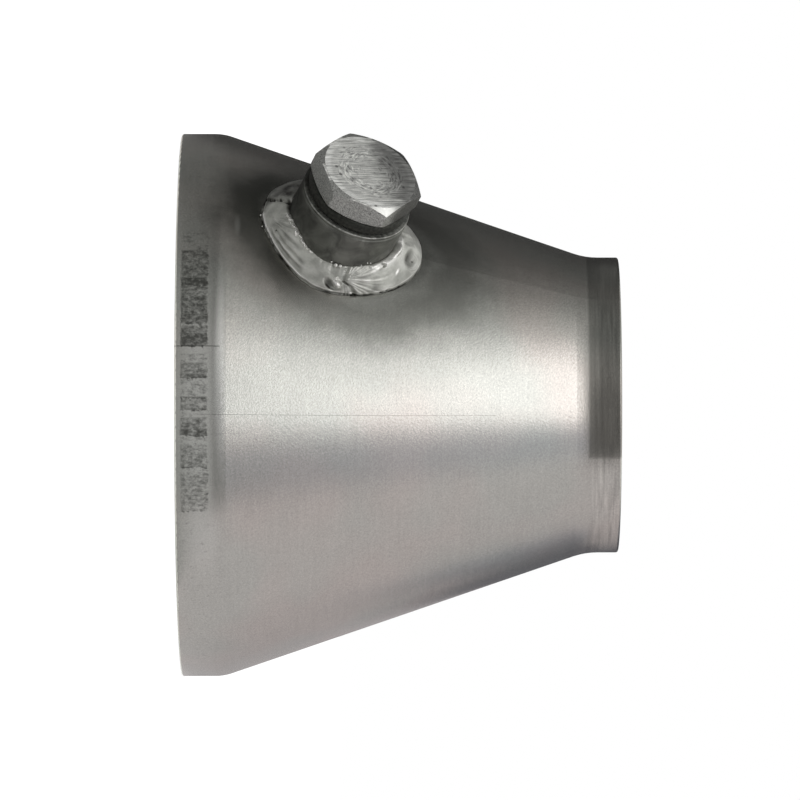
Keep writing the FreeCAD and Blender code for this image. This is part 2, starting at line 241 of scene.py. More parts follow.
def dress_node(node, material):
    """Give a CAD node its finish."""
    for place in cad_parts[node].material_slots:
        place.material = material


def socket_called(sockets, key):
    """Find a socket by its place, or by its name among those in use."""
    if isinstance(key, int):
        return sockets[key]
    return next(socket for socket in sockets if socket.name == key and socket.enabled)


def add_node(tree, kind, inputs=(), **settings):
    """Add a shader node with its settings, and set its inputs or link them to another node's output.

    Inputs are named, or else a list in the order of the node's sockets. For a MapRange that is the
    value, the low and high end that it comes from, and the low and high end that it goes to.
    """
    node = tree.nodes.new("ShaderNode" + kind)
    for name, value in settings.items():
        setattr(node, name, value)
    for key, value in inputs.items() if isinstance(inputs, dict) else enumerate(inputs):
        target = socket_called(node.inputs, key)
        if isinstance(value, bpy.types.Node):
            value = next(socket for socket in value.outputs if socket.enabled)
        if isinstance(value, bpy.types.NodeSocket):
            tree.links.new(value, target)
        elif target.type == "RGBA":
            target.default_value = (*value[:3], 1)
        else:
            target.default_value = value
    return node


def new_material(name):
    """A new material, and the function that adds nodes to its empty tree."""
    material = bpy.data.materials.new(name)
    material.use_nodes = True
    material.node_tree.nodes.clear()
    return material, partial(add_node, material.node_tree)


def set_ramp(node, stops):
    """Give a colour ramp its stops, each a place and a grey level."""
    ramp = node.color_ramp
    while len(ramp.elements) < len(stops):
        ramp.elements.new(0)
    for element, (place, level) in zip(ramp.elements, sorted(stops)):
        element.position = place
        element.color = (level, level, level, 1)
    return node


def finish_metal(material, tint, metallic, roughness, relief, depth):
    """End a metal's material with its shader. Its relief is a pattern from 0 to 1, of a depth."""
    add = partial(add_node, material.node_tree)
    bump = add("Bump", {"Height": relief, "Distance": depth, "Strength": 1.0})
    shader = add("BsdfPrincipled", {"Base Color": tint, "Metallic": metallic,
                                    "Roughness": roughness, "Normal": bump})
    add("OutputMaterial", {"Surface": shader})
    return material


def turn_and_height(add, place):
    """Turn round the Z axis and height along it, of a place in any coordinates."""
    parts = add("SeparateXYZ", [place])
    turn = add("Math", [parts.outputs["Y"], parts.outputs["X"]], operation="ARCTAN2")
    return turn, parts.outputs["Z"]


def boss_coordinates(add):
    """Object coordinates turned so that the origin is the boss's seat and Z runs along its axis."""
    coordinates = add("TexCoord").outputs["Object"]
    return add("Mapping", {"Vector": coordinates, "Location": SEAT, "Rotation": BOSS_FRAME.to_euler()},
               vector_type="TEXTURE")


# Widths of the patterns on the sheet: clouds, bath film, drawn lines and the speckle of the prints.
CLOUD_WIDTH, FILM_WIDTH, LINE_WIDTH, SPECKLE_WIDTH = 16 * MM, 30 * MM, 0.7 * MM, 0.8 * MM
# How far the drawn lines are squeezed round the pipe. How strongly the grain, the lines (on the cone,
# and on the small collar) and the clouds show. Heights between which the small collar's lines begin.
LINE_STRETCH = 0.06
GRAIN_TONE, LINE_TONE, COLLAR_TONE, CLOUD_TONE = 0.60, 0.12, 1.0, 0.20
COLLAR_EDGE = (92.5 * MM, 94 * MM)
GRAIN_DEPTH = 0.024 * MM
SHEET_ROUGHNESS = 0.27
# Painted shade inside the pipe: the share of the steel's tone left on the inside wall.
INSIDE_TONE = 0.55


def make_sheet_steel():
    """Satin stainless sheet, formed and pickled: a soft broad glint broken up by a fine even grain.
    Painted shade darkens the inside, and a painted reflection and painted sheen lie on the collars.
    """
    settings = bpy.context.scene.reducer_sheet
    material, add = new_material("satin_stainless_sheet")
    coordinates = add("TexCoord")
    place = coordinates.outputs["Object"]
    grain = add("TexNoise", {"Vector": place, "Scale": 1 / settings.grain, "Detail": 4.0,
                             "Roughness": 0.65})
    cloud = add("TexNoise", {"Vector": place, "Scale": 1 / CLOUD_WIDTH, "Detail": 6.0, "Roughness": 0.62})
    drawn = add("Mapping", {"Vector": place, "Scale": (LINE_STRETCH, LINE_STRETCH, 1)})
    lines = add("TexNoise", {"Vector": drawn, "Scale": 1 / LINE_WIDTH, "Detail": 3.0})
    height = add("SeparateXYZ", [place]).outputs["Z"]
    streaks = add("MapRange", [height, *COLLAR_EDGE, LINE_TONE, COLLAR_TONE])
    level = 1.0
    for pattern, strength in ((grain, GRAIN_TONE), (lines, streaks), (cloud, CLOUD_TONE)):
        centred = add("Math", [pattern, 0.5], operation="SUBTRACT")
        level = add("Math", [centred, strength, level], operation="MULTIPLY_ADD")
    # Painted shade: the inside wall of the pipe is darkened and the outside is not.
    outward = add("VectorMath", [coordinates.outputs["Normal"], place], operation="MULTIPLY")
    outward = add("VectorMath", [outward, (1, 1, 0)], operation="DOT_PRODUCT")
    outside = add("MapRange", [outward, -MM, MM])
    wall_tone = add("MapRange", [outside, 0, 1, INSIDE_TONE, 1.0])
    level = add("Math", [level, wall_tone], operation="MULTIPLY")
    film = add("TexNoise", {"Vector": place, "Scale": 1 / FILM_WIDTH, "Detail": 2.0})
    film = add("MapRange", [film, 0.42, 0.62, 0, 0.8])
    steel = add("Mix", {"Factor": film, "A": settings.steel, "B": settings.warm}, data_type="RGBA")
    tint = add("VectorMath", {0: steel, "Scale": level}, operation="SCALE")
    soot = soot_round_weld(add, cloud)
    tint = add("Mix", {"Factor": soot, "A": tint, "B": settings.soot}, data_type="RGBA")
    # Marks over the outside: a painted dark reflection on the small collar, painted sheen with a paler
    # smear, jaw prints and scribed lines.
    for marks, colour in ((collar_film, settings.soot), (rubbed_patches, settings.rubbed),
                          (jaw_smudges, settings.smudge), (scribe_lines, settings.smudge)):
        share = add("Math", [marks(add, place), outside], operation="MULTIPLY")
        tint = add("Mix", {"Factor": share, "A": tint, "B": colour}, data_type="RGBA")
    return finish_metal(material, tint, 1.0, SHEET_ROUGHNESS, grain, GRAIN_DEPTH)


# Share of the soot's reach, and how much covers the steel there: a ring of it lies outside the bead.
SOOT_STOPS = [(0.0, 0.75), (0.38, 0.75), (0.44, 0.55), (0.51, 0.76), (0.60, 0.68), (0.68, 0.42),
              (0.80, 0.15), (1.0, 0.0)]
SOOT_REACH, SOOT_WAVER = 45 * MM, 4 * MM
# In the boss's frame: the soot's middle, how it is squeezed round the pipe, which way and between
# which places it grows denser, and the heights over which it sets in: the pipe's far side has none.
SOOT_DRIFT = (-4.0 * MM, 0, 0)
SOOT_SPREAD = (1, 1.25, 0)
SOOT_LEAN, SOOT_LEAN_EDGE = (0.7, -0.7, 0), (-12 * MM, 14 * MM)
SOOT_FLOOR = (-60 * MM, -40 * MM)


def soot_round_weld(add, cloud):
    """How much smoke and oxide lies on the sheet, by the distance from the boss axis."""
    local = boss_coordinates(add)
    drifted = add("VectorMath", [local, SOOT_DRIFT], operation="SUBTRACT")
    flat = add("VectorMath", [drifted, SOOT_SPREAD], operation="MULTIPLY")
    reach = add("VectorMath", [flat], operation="LENGTH")
    waver = add("MapRange", [cloud, 0.2, 0.8, -SOOT_WAVER, SOOT_WAVER])
    wavering = add("Math", [reach, waver], operation="ADD")
    share = add("Math", [wavering, SOOT_REACH], operation="DIVIDE")
    soot = set_ramp(add("ValToRGB", [share]), SOOT_STOPS)
    height = add("SeparateXYZ", [local]).outputs["Z"]
    near = add("MapRange", [height, *SOOT_FLOOR])
    lean = add("VectorMath", [local, SOOT_LEAN], operation="DOT_PRODUCT")
    lean = add("MapRange", [lean, *SOOT_LEAN_EDGE, 0.86, 1.3])
    for share in (near, lean):
        soot = add("Math", [soot, share], operation="MULTIPLY", use_clamp=True)
    return soot


# Prints of a chuck's jaw on the big collar: the turn in degrees at which each begins, and its density.
# They repeat by the period. The speckle frays them by a turn in degrees and by a height, and they fade
# in and out between two pairs of heights.
JAW_PERIOD, JAW_START, JAW_RAG = 120, 6, 1.6
JAW_FRAY = 1.6 * MM
JAW_LOW, JAW_HIGH = (2.0 * MM, 2.3 * MM), (7.9 * MM, 8.3 * MM)
JAW_MARKS = [(0, 0.22), (4.9, 0.62), (5.6, 0.52), (11.3, 0.82), (13.2, 0.54), (15.9, 0.66),
             (20.5, 0.76), (22, 0.58), (23.8, 0.78), (26.4, 0.08), (28.1, 0.32), (29.6, 0.50),
             (31.9, 0.72), (32.9, 0.28), (36.8, 0.80), (37.4, 0.48), (39.1, 0.66), (39.8, 0.24),
             (41, 0.54), (43.2, 0.72), (44.6, 0.24), (46.8, 0.48), (51.1, 0.22), (52.4, 0.42), (60.6, 0)]


def jaw_smudges(add, place):
    """Stacked dark prints of a chuck's jaws round the big collar, speckled where the metal was high."""
    turn, height = turn_and_height(add, place)
    drawn = add("Mapping", {"Vector": place, "Scale": (1, 1, 0.7)})
    speckle = add("TexNoise", {"Vector": drawn, "Scale": 1 / SPECKLE_WIDTH, "Detail": 5.0,
                               "Roughness": 0.72})
    first = math.radians(JAW_START + JAW_RAG / 2)
    last = math.radians(JAW_START + JAW_RAG / 2 + JAW_PERIOD)
    ragged = add("Math", [speckle, math.radians(JAW_RAG), turn], operation="MULTIPLY_ADD")
    wrapped = add("Math", [ragged, last, first], operation="WRAP")
    share = add("MapRange", [wrapped, first, last])
    stops = [(start / JAW_PERIOD, density) for start, density in JAW_MARKS]
    marks = set_ramp(add("ValToRGB", [share]), stops)
    marks.color_ramp.interpolation = "CONSTANT"
    spread = add("MapRange", [speckle, 0.3, 0.7, 0.08, 1.0])
    over = add("Math", [marks, spread], operation="SUBTRACT")
    printed = add("MapRange", [over, -0.36, 0.36, 0, 0.85])
    height = add("Math", [speckle, JAW_FRAY, height], operation="MULTIPLY_ADD")
    above = add("MapRange", [height, *JAW_LOW])
    below = add("MapRange", [height, *JAW_HIGH, 1.0, 0.0])
    band = add("Math", [above, below], operation="MULTIPLY")
    return add("Math", [printed, band], operation="MULTIPLY")


# Scribed lines along the pipe: turn in degrees at the big end, drift in degrees a millimetre, low and
# high end in millimetres, half the width in degrees, and strength.
SCRIBES = [(46.4, 0.022, 4.6, 71, 0.05, 0.45), (32.6, 0, -1, 10, 0.10, 0.6), (50.6, 0, 5, 17, 0.05, 0.25)]


def scribe_lines(add, place):
    """Fine lines scribed along the pipe."""
    turn, height = turn_and_height(add, place)
    total = 0.0
    for start, drift, low, high, width, strength in SCRIBES:
        slope = math.radians(drift) / MM
        middle = add("Math", [height, slope, math.radians(start)], operation="MULTIPLY_ADD")
        line = add("Math", [turn, middle, math.radians(width)], operation="COMPARE")
        inside = add("Math", [height, (low + high) / 2 * MM, (high - low) / 2 * MM], operation="COMPARE")
        both = add("Math", [line, inside], operation="MULTIPLY")
        total = add("Math", [both, strength, total], operation="MULTIPLY_ADD")
    return total


# Painted dark reflection on the small collar: the heights between which it begins, and its density by
# the turn in degrees.
FILM_EDGE = (91.8 * MM, 92.4 * MM)
FILM_STOPS = [(-165, 0.0), (-75, 0.50), (64.6, 0.50), (65.4, 0.0), (90, 0.0), (114, 0.30), (138, 0.30),
              (162, 0.0)]


def collar_film(add, place):
    """Painted dark reflection on one side of the small collar, in the soot colour, with a sharp edge."""
    turn, height = turn_and_height(add, place)
    above = add("MapRange", [height, *FILM_EDGE])
    share = add("MapRange", [turn, -math.pi, math.pi])
    stops = [((degrees + 180) / 360, density) for degrees, density in FILM_STOPS]
    film = set_ramp(add("ValToRGB", [share]), stops)
    return add("Math", [above, film], operation="MULTIPLY")


# A paler smear, and painted sheen on the bend of the big collar: turn in degrees, height, and half the
# spread across and along the pipe in millimetres, and how far the bright steel shows.
RUBBED = [(3.5, 13.6, 4.2, 1.0, 0.13), (48, 5.5, 42, 7.0, 0.52), (38, 10.0, 30, 1.7, 0.55)]


def rubbed_patches(add, place):
    """Paler steel in a smear on the dark side, and painted sheen on the bend of the big collar."""
    total = 0.0
    for degrees, height, across, rise, share in RUBBED:
        centre = round_axis(CONE_RADIUS - CONE_SLOPE * height * MM, math.radians(degrees), height * MM)
        size = Vector((across, across, rise)) * MM
        near = add("Mapping", {"Vector": place, "Location": centre, "Scale": size}, vector_type="TEXTURE")
        off = add("VectorMath", [near], operation="LENGTH")
        patch = add("MapRange", [off, 0.2, 1.0, share, 0.0], interpolation_type="SMOOTHSTEP")
        total = add("Math", [patch, total], operation="ADD")
    return total


# Widths of the patterns on the boss and its ring: turning marks, smears, breaks in the worn rim, and
# the ring's pits.
TURNING_WIDTH, SMEAR_WIDTH, BREAK_WIDTH, PIT_WIDTH = 0.25 * MM, 4 * MM, 0.9 * MM, 0.7 * MM

# Worn bright lines at the boss's rim and at its turned line, with a painted highlight: share of the
# depth, and brightness. They show on the lit side only, between two places along the Y axis of the
# boss's frame, and the other side of the boss is painted in shade.
RIM_DEPTH = 1.6 * MM
RIM_SIDE = (-MM, 6 * MM)
RIM_STOPS = [(0.0, 0.0), (0.36, 0.0), (0.42, 0.3), (0.46, 0.3), (0.50, 0.0), (0.86, 0.0), (0.90, 0.5),
             (1.0, 0.4)]


def make_turned_steel():
    """Turned steel that the weld's heat has dulled: dark and even, with smears, worn bright edges with a
    painted highlight on the lit side, and painted shade on the far side.
    """
    settings = bpy.context.scene.reducer_boss
    material, add = new_material("heat_dulled_boss_steel")
    local = boss_coordinates(add)
    rings = add("Mapping", {"Vector": local, "Scale": (0.04, 0.04, 1)})
    turned = add("TexNoise", {"Vector": rings, "Scale": 1 / TURNING_WIDTH, "Detail": 3.0})
    smear = add("TexNoise", {"Vector": local, "Scale": 1 / SMEAR_WIDTH, "Detail": 5.0, "Distortion": 0.8})
    level = add("MapRange", [smear, 0.32, 0.70, 0.55, 1.45])
    dull = add("VectorMath", {0: settings.steel[:], "Scale": level}, operation="SCALE")
    top = along_boss_axis("sensor_boss")[1]
    parts = add("SeparateXYZ", [local])
    near_top = add("MapRange", [parts.outputs["Z"], top - RIM_DEPTH, top])
    rim = set_ramp(add("ValToRGB", [near_top]), RIM_STOPS)
    toward = add("MapRange", [parts.outputs["Y"], *RIM_SIDE])
    broken = add("TexNoise", {"Vector": local, "Scale": 1 / BREAK_WIDTH, "Detail": 3.0})
    broken = add("MapRange", [broken, 0.42, 0.58, 0.35, 1.2])
    for share in (toward, broken):
        rim = add("Math", [rim, share], operation="MULTIPLY")
    # Painted shade: the boss darkens to about a third on the side away from the light.
    shade = add("MapRange", [toward, 0, 1, 0.36, 1.0])
    dull = add("VectorMath", {0: dull, "Scale": shade}, operation="SCALE")
    tint = add("Mix", {"Factor": rim, "A": dull, "B": settings.worn}, data_type="RGBA")
    return finish_metal(material, tint, 0.85, 0.44, turned, 0.006 * MM)


def make_ring_metal():
    """Soft iron crush ring, painted nearly black for the shade in the gap under the plug's head, with a
    dull sheen.
    """
    settings = bpy.context.scene.reducer_plug
    material, add = new_material("seal_ring_painted_shade")
    local = boss_coordinates(add)
    patchy = add("TexNoise", {"Vector": local, "Scale": 1 / PIT_WIDTH, "Detail": 4.0})
    level = add("MapRange", [patchy, 0.3, 0.7, 0.5, 1.5])
    tint = add("VectorMath", {0: settings.ring[:], "Scale": level}, operation="SCALE")
    return finish_metal(material, tint, 0.7, 0.5, patchy, 0.03 * MM)


# Widths of the patterns on the plug: dull patches, the flats' grain, brush scores (coarser than real
# ones, so that they show), turning marks, scuffs and the spacing of the dents.
PATCH_WIDTH, FLAT_GRAIN_WIDTH, SCORE_WIDTH = 4 * MM, 0.28 * MM, 0.18 * MM
ARC_WIDTH, SCUFF_WIDTH, DENT_SPACING = 0.5 * MM, 2.6 * MM, 3.0 * MM

# In the boss's frame: the one corner of the head where the chamfer carries a painted highlight, how far
# round it, how the brush's scores lean, the side where the head is painted in shade, and between which
# places the shade sets in.
CLEAN_CORNER, CLEAN_EDGE = Vector((-4.5, 12.0, 0)) * MM, (4.4 * MM, 5.2 * MM)
BRUSH_TURN = math.radians(19.5)
DULL_SIDE, DULL_EDGE = (-0.74, -0.30, 0), (3 * MM, 8.5 * MM)

# The faced top: its reach, the share of it and how strong the turning marks are there, how long they
# are for a radian, and where its rim is rubbed bright.
TOP_REACH = 10 * MM
TURNED_STOPS = [(0.05, 0.5), (0.25, 0.75), (0.60, 1.0), (0.78, 0.7), (0.92, 0.0)]
ARC_STRETCH = 1.6 * MM
RUBBED_RIM = (9.0 * MM, 9.6 * MM)


def make_plug_steel():
    """Plain steel: matte flats, a chamfer with a painted highlight at one corner, painted shade on one
    side of the head, and a faced top scored by a wire brush.
    """
    settings = bpy.context.scene.reducer_plug
    material, add = new_material("faced_plug_steel")
    local = boss_coordinates(add)
    normal = add("TexCoord").outputs["Normal"]
    facing = add("VectorMath", [normal, BOSS_AXIS], operation="DOT_PRODUCT")
    on_top = add("MapRange", [facing, 0.96, 0.985])
    on_chamfer = add("MapRange", [facing, 0.55, 0.75])
    flat = add("VectorMath", [local, (1, 1, 0)], operation="MULTIPLY")
    off = add("VectorMath", [flat, CLEAN_CORNER], operation="DISTANCE")
    # Painted highlight: the chamfer is bright only round the corner that faces the light, and takes the
    # flats' tone elsewhere.
    clean = add("MapRange", [off, *CLEAN_EDGE, 1.0, 0.0])
    on_chamfer = add("Math", [on_chamfer, clean], operation="MULTIPLY")
    face, relief = scored_face(add, local, flat)
    # Painted shade: the head darkens to about a third towards one side, over a ragged edge.
    aside = add("VectorMath", [local, DULL_SIDE], operation="DOT_PRODUCT")
    patches = add("TexNoise", {"Vector": local, "Scale": 1 / PATCH_WIDTH, "Detail": 3.0})
    aside = add("Math", [patches, 7 * MM, aside], operation="MULTIPLY_ADD")
    dulled = add("MapRange", [aside, *DULL_EDGE, 1.0, 0.30], interpolation_type="SMOOTHSTEP")
    grain = add("TexNoise", {"Vector": local, "Scale": 1 / FLAT_GRAIN_WIDTH, "Detail": 2.0})
    flats = add("MapRange", [grain, 0.3, 0.7, 0.24, 0.72])
    values = {}
    for name, side_value, chamfer, top in (("tone", flats, 1.0, face), ("metal", 0.85, 0.60, 0.35),
                                           ("rough", 0.48, 0.34, 0.45), ("relief", grain, grain, relief)):
        value = add("Mix", {"Factor": on_chamfer, "A": side_value, "B": chamfer}, data_type="FLOAT")
        values[name] = add("Mix", {"Factor": on_top, "A": value, "B": top}, data_type="FLOAT")
    tone = add("Math", [values["tone"], dulled], operation="MULTIPLY")
    tint = add("VectorMath", {0: settings.steel[:], "Scale": tone}, operation="SCALE")
    return finish_metal(material, tint, values["metal"], values["rough"], values["relief"], 0.04 * MM)


def scored_face(add, local, flat):
    """Tone and relief of the head's top: brush scores, broken turning marks, and dents."""
    brushed = add("Mapping", {"Vector": local, "Rotation": (0, 0, BRUSH_TURN), "Scale": (36, 1, 1)},
                  vector_type="TEXTURE")
    scores = add("TexNoise", {"Vector": brushed, "Scale": 1 / SCORE_WIDTH, "Detail": 4.0,
                              "Roughness": 0.75})
    reach = add("VectorMath", [flat], operation="LENGTH")
    turn = turn_and_height(add, local)[0]
    swept = add("Math", [turn, ARC_STRETCH], operation="MULTIPLY")
    polar = add("CombineXYZ", {"X": reach, "Y": swept})
    arcs = add("TexNoise", {"Vector": polar, "Scale": 1 / ARC_WIDTH, "Detail": 4.0, "Roughness": 0.75,
                            "Distortion": 0.5})
    patches = add("TexNoise", {"Vector": local, "Scale": 1 / SCUFF_WIDTH, "Detail": 4.0})
    share = add("Math", [reach, TOP_REACH], operation="DIVIDE")
    ring = set_ramp(add("ValToRGB", [share]), TURNED_STOPS)
    scuffed = add("Math", [ring, patches], operation="MULTIPLY")
    scuffed = add("MapRange", [scuffed, 0.34, 0.50, 0, 0.8])
    relief = add("Mix", {"Factor": scuffed, "A": scores, "B": arcs}, data_type="FLOAT")
    tone = add("MapRange", [relief, 0.38, 0.60, 0.18, 1.18])
    cells = add("TexVoronoi", {"Vector": local, "Scale": 1 / DENT_SPACING})
    dents = add("MapRange", [cells.outputs["Distance"], 0.08, 0.17, 0.35, 1.0])
    worn = add("MapRange", [reach, *RUBBED_RIM, 1.0, 1.25])
    for share in (dents, worn):
        tone = add("Math", [tone, share], operation="MULTIPLY")
    return tone, relief


# Widths of the frost's grain and of its clouds.
FROST_WIDTH, FROST_CLOUD_WIDTH = 0.35 * MM, 3 * MM


def make_weld_metal():
    """Stainless filler as the arc left it: its frosted skin scatters light, with flux in the seams. The
    same stain paints highlights bright and shade dark on the bead.
    """
    settings = bpy.context.scene.reducer_weld
    material, add = new_material("frosted_filler_metal")
    place = add("TexCoord").outputs["Object"]
    grain = add("TexNoise", {"Vector": place, "Scale": 1 / FROST_WIDTH, "Detail": 3.0})
    cloud = add("TexNoise", {"Vector": place, "Scale": 1 / FROST_CLOUD_WIDTH, "Detail": 4.0})
    level = add("MapRange", [cloud, 0.3, 0.7, 0.67, 1.03])
    frosted = add("VectorMath", {0: settings.metal[:], "Scale": level}, operation="SCALE")
    stain = add("Attribute", attribute_name="stain").outputs["Fac"]
    dark = add("MapRange", [stain, 0.0, 1.0])
    bare = add("MapRange", [stain, 0.0, -1.0])
    tint = add("Mix", {"Factor": dark, "A": frosted, "B": settings.flux}, data_type="RGBA")
    tint = add("Mix", {"Factor": bare, "A": tint, "B": settings.bare}, data_type="RGBA")
    rough = add("MapRange", [bare, 0, 1, 0.42, 0.22])
    return finish_metal(material, tint, 0.6, rough, grain, 0.015 * MM)


def smooth_step(value, low, high):
    """Rise from 0 at the low end to 1 at the high end, level at both."""
    share = min(max((value - low) / (high - low), 0), 1)
    return share * share * (3 - 2 * share)


def hump(offset, width):
    """Smooth hump of height 1 that ends at its width."""
    return max(0, 1 - (offset / width) ** 2) ** 2


def difference(turn, other):
    """Signed turn from one direction to another, in degrees."""
    return (math.degrees(turn) - other + 180) % 360 - 180


def ring_noise(turn, level, fineness):
    """Noise along a ring, which meets itself after a full turn."""
    return noise.noise(round_axis(1, turn, level) * fineness)


def round_boss(turn, mean, waves, humps, wander, level, fineness):
    """A length that changes round the boss: a mean with waves, humps and a little noise."""
    swing = sum(size * math.cos(count * (turn - math.radians(crest))) for size, count, crest in waves)
    swelling = sum(size * hump(difference(turn, crest), width) for size, crest, width in humps)
    return mean + swing + swelling + wander * ring_noise(turn, level, fineness)


def follow(points, place):
    """Second value of a chain of pairs, at a place along the first. None past either end."""
    for (start, value), (end, next_value) in zip(points, points[1:]):
        if start <= place <= end:
            return value + (next_value - value) * (place - start) / (end - start)
    return None


# Marks on the bead are placed by the turn round the boss in degrees (0 faces the big end, 90 the
# right hand of one who looks from there) and by the share of the way from the boss to the toe.
# Lengths are in millimetres. Stain is 1 for black flux and -1 for bright bare metal; it also carries
# painted highlight on lumps and ridges and painted shade in pits and valleys.

# Lumps and pits: turn, share, half length, half width, lean in degrees, height, stain. The stain paints
# a highlight on the lumps and shade in the pits; the lump at 147 is a painted highlight spot.
LUMPS = [
    (160, 0.10, 3.6, 1.0, 0, 0.80, -0.5), (170, 0.42, 3.8, 2.4, 0, 0.40, 0),
    (166, 0.54, 3.6, 2.3, 0, -1.0, 0.7), (163, 0.50, 0.3, 0.25, 0, -0.35, 0.9),
    (167, 0.66, 0.3, 0.25, 0, -0.35, 0.9), (147, 0.53, 1.3, 0.55, -30, 0.14, -1.2),
    (84, 0.66, 2.1, 1.1, 38, -0.75, 0.9), (90.5, 0.62, 1.9, 1.1, 38, 1.1, -1.5),
    (88, 0.42, 0.7, 0.4, 0, 0.40, -0.7), (98, 0.20, 0.40, 0.36, 0, 0.40, -0.9),
    (99.5, 0.32, 0.36, 0.34, 0, 0.36, -0.9), (98.5, 0.42, 0.42, 0.32, 0, 0.34, -0.7),
    (95, 0.12, 0.34, 0.30, 0, 0.34, -0.8), (101, 0.27, 0.26, 0.26, 0, 0.26, -0.6),
    (136, 0.15, 0.95, 0.65, 0, -0.85, 0.9), (134, 0.10, 0.45, 0.3, 0, 0.5, -0.5),
    (136, 0.92, 1.0, 0.28, 0, -0.45, 0.9), (131, 0.95, 0.6, 0.24, 0, -0.4, 0.8),
    (146, 0.96, 0.4, 0.24, 0, -0.35, 0.9), (-15, 0.60, 0.45, 0.40, 0, -0.45, 1),
    (-14, 0.38, 0.50, 0.40, 0, -0.45, 1), (-13, 0.50, 0.28, 0.26, 0, 0.25, -0.5),
    (-12, 0.26, 0.34, 0.34, 0, 0.35, -0.7), (-10, 0.16, 0.6, 0.45, 0, -0.5, 1),
    (-16, 0.72, 0.30, 0.30, 0, -0.35, 0.9), (18, 0.65, 0.28, 0.28, 0, -0.3, 0.9),
    (31, 0.05, 4.0, 0.55, 0, 0.25, -0.3), (105.5, 0.92, 0.8, 0.4, 0, 0.25, -0.8),
]

# Ridges and valleys that run round the bead: height, width, stain, and pairs of turn and share. The
# stain paints a highlight on the ridges and shade in the valleys.
RIDGES = [
    (0.17, 0.32, -0.30, [(4, 0.60), (14, 0.45), (24, 0.34), (33, 0.25), (43, 0.12)]),
    (-0.12, 0.34, 0.25, [(8, 0.70), (18, 0.55), (28, 0.44), (38, 0.33), (50, 0.25)]),
    (0.10, 0.30, -0.15, [(14, 0.58), (24, 0.50), (36, 0.42), (50, 0.36)]),
    (-0.16, 0.40, 0.35, [(14, 0.66), (22, 0.64), (33, 0.60), (46, 0.54), (60, 0.50)]),
    (0.12, 0.40, -0.20, [(10, 0.78), (20, 0.74), (33, 0.68), (49, 0.62), (64, 0.58)]),
    (-0.08, 0.30, 0.20, [(14, 0.82), (30, 0.78), (48, 0.73), (62, 0.70)]),
    (-0.40, 0.45, 0.85, [(-16, 0.12), (-6, 0.07), (4, 0.05), (13, 0.04)]),
    (0.20, 0.30, -0.70, [(-6, 0.90), (10, 0.90), (28, 0.90), (46, 0.90), (66, 0.91)]),
    (-0.26, 0.26, 0.75, [(80, 0.66), (83, 0.76), (87, 0.84), (92, 0.87), (96, 0.83)]),
    (0.32, 0.75, -0.50, [(118, 0.06), (130, 0.12), (147, 0.16), (166, 0.14), (184, 0.08)]),
]

# Seams that run from the boss to the toe: height, width, stain, and pairs of share and turn.
SEAMS = [
    (-0.18, 0.40, 0.35,
     [(0.05, 97), (0.28, 95.5), (0.48, 95), (0.56, 98), (0.66, 103), (0.85, 107), (1.0, 109)]),
    (-0.30, 0.40, 0.45, [(0.0, -10), (0.18, -11), (0.40, -14), (0.60, -15), (0.80, -18), (1.0, -22)]),
    (-0.22, 0.34, 0.30, [(0.50, 95.5), (0.56, 98), (0.66, 103), (0.85, 107), (0.98, 108.5)]),
]

# Frozen flow lines: turn and share that they fan out from, how many in a full turn, and their reach.
FANS = [(4, 0.67, 80, 17), (95, 0.40, 90, 16)]

# Rings froze round a crater: its turn and share, and the rings' middle, spacing and height.
CRATER = (166, 0.58)
RINGS = (2.4, 0.55, 0.05)

# Along the toe: a step down (depth, and the shares between which it falls), a bright line above it
# (strength, share and width) and painted shade in the crease at its edge (the shares between which it
# darkens).
TOE_STEP = (0.26, 0.90, 0.94)
TOE_LINE = (0.5, 0.885, 0.16)
TOE_BURN = (0.925, 0.965)

# Painted shade that darkens one side of the bead, in the flux colour: its middle, how far it reaches,
# how far it is full, and its stain. How high the second pass stands over the first, and the painted
# light for a millimetre of the grain's height: the flow lines' crests lighter, their troughs darker.
FLUX_SIDE = (-62, 52, 40, 0.75)
PASS_STEP = 0.35
GRAIN_STAIN = -3.0

# How far the face bulges over its chord, and how square the bulge is. The bead's lengths are measured
# at a share of the toe's reach. A lump is left out further off than a turn in degrees. A ridge rises
# and sinks over so many degrees at its ends, and the edge of a pass over so many millimetres.
BULGE, SQUARENESS = 0.85, 2.6
MIDDLE_REACH = 0.93
LUMP_SPAN = 22
RIDGE_RISE, RIDGE_FALL, PASS_EDGE = 4, 8, 0.6

# Reach of the bead's toe from the boss, and height of its top: mean, waves (size, count in a full
# turn, crest), humps (size, crest, half width), and the size, level and fineness of their noise.
TOE = (5.2, [(1.55, 1, 229), (0.83, 2, -10), (0.58, 3, -59), (0.25, 4, -5)],
       [(0.45, 0, 22), (-0.30, 100, 30)], 0.10, 0, 9)
TOP = (4.6, [], [(-1.3, 72, 45), (0.5, 28, 22), (0.8, 176, 45)], 0.15, 1, 12)

# How deep the bead's hidden sides sink into boss and cone, and the share of a section's points that
# lie on its face.
SINK = 0.25 * MM
FACE_SHARE = 0.86


